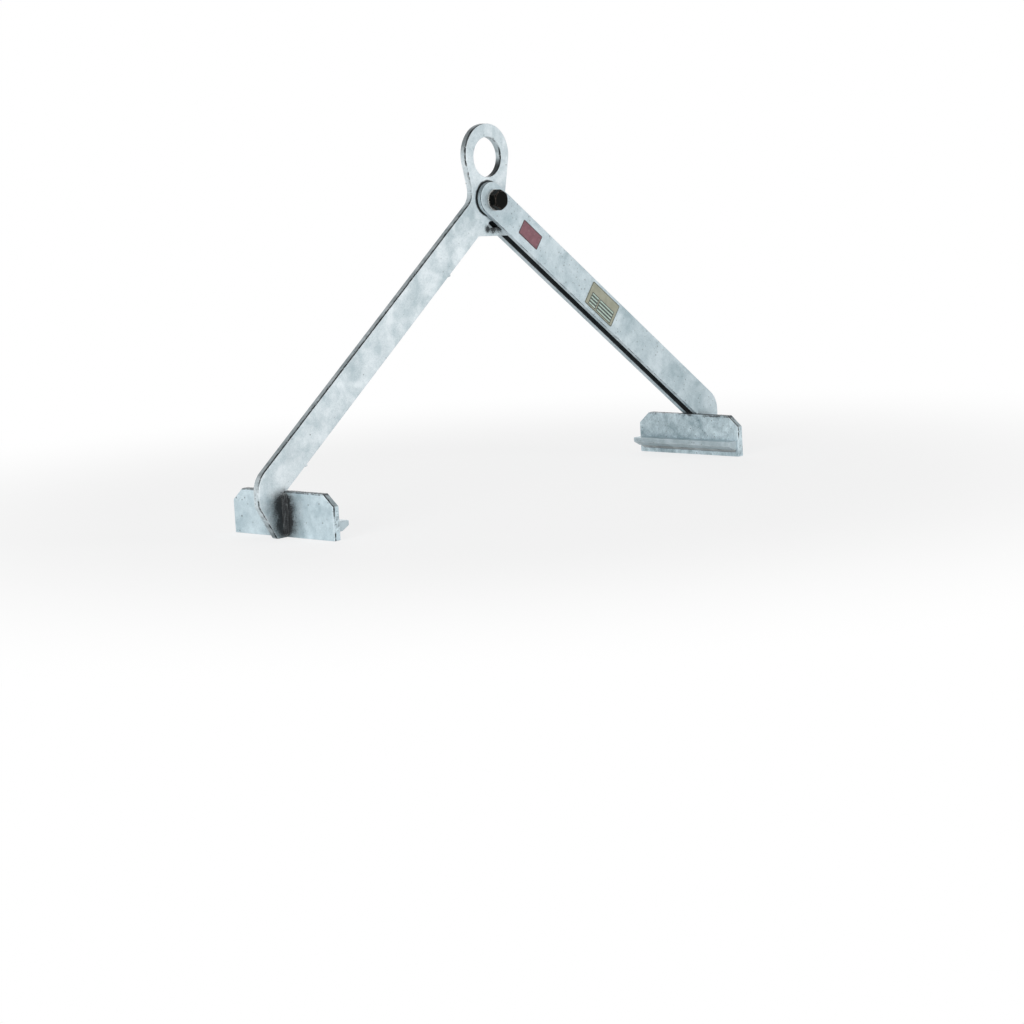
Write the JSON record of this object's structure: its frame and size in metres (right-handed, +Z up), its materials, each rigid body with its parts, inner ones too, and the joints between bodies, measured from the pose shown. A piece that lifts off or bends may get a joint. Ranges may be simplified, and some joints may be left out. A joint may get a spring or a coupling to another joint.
{
  "type": "drum lifter",
  "caption": "Hinged drum lifter: an arm with a hook eye and a double-bar arm on a pivot bolt, with jaw plates and lips that grip a lying drum by its rims.",
  "frame": {"origin": "centre of the hook hole in the lifting eye, in the lifter's middle plane", "axes": "+X along the carried drum towards the double-bar arm, +Y across the lifter towards the nut, +Z up"},
  "size_m": [1, 0.205, 0.5545],
  "materials": {
    "galvanised_steel": "hot-dip galvanised, cloudy satin",
    "weld_metal": "galvanised weld bead",
    "black_bolt": "glossy black",
    "zinc_hardware": "bright zinc plated",
    "nylon": "moulded nylon",
    "red_foil": "printed foil, bare",
    "type_plate": "anodised olive, bare"
  },
  "bodies": {
    "eye_arm_side": {"eye_arm": "galvanised_steel", "left_jaw_plate": "galvanised_steel", "left_hook_lip": "galvanised_steel", "left_fin_welds": "weld_metal", "left_lip_weld": "weld_metal"},
    "two_bar_arm": {"front_arm_plate": "galvanised_steel", "rear_arm_plate": "galvanised_steel", "stop_block": "galvanised_steel", "stop_block_welds": "weld_metal", "right_jaw_plate": "galvanised_steel", "right_hook_lip": "galvanised_steel", "right_fin_welds": "weld_metal", "right_lip_weld": "weld_metal", "pivot_bush": "zinc_hardware", "pivot_bolt": "black_bolt", "head_washer": "zinc_hardware", "nut_washer": "zinc_hardware", "lock_nut": "zinc_hardware", "nut_insert_ring": "nylon", "marking_label": "red_foil", "type_plate": "type_plate"}
  },
  "joints": [
    {"name": "arm_pivot", "type": "hinge", "parent": "eye_arm_side", "child": "two_bar_arm", "pos_m": [0, 0, -0.064], "axis": [0, -1, 0], "range_deg": [0, 80]}
  ]
}
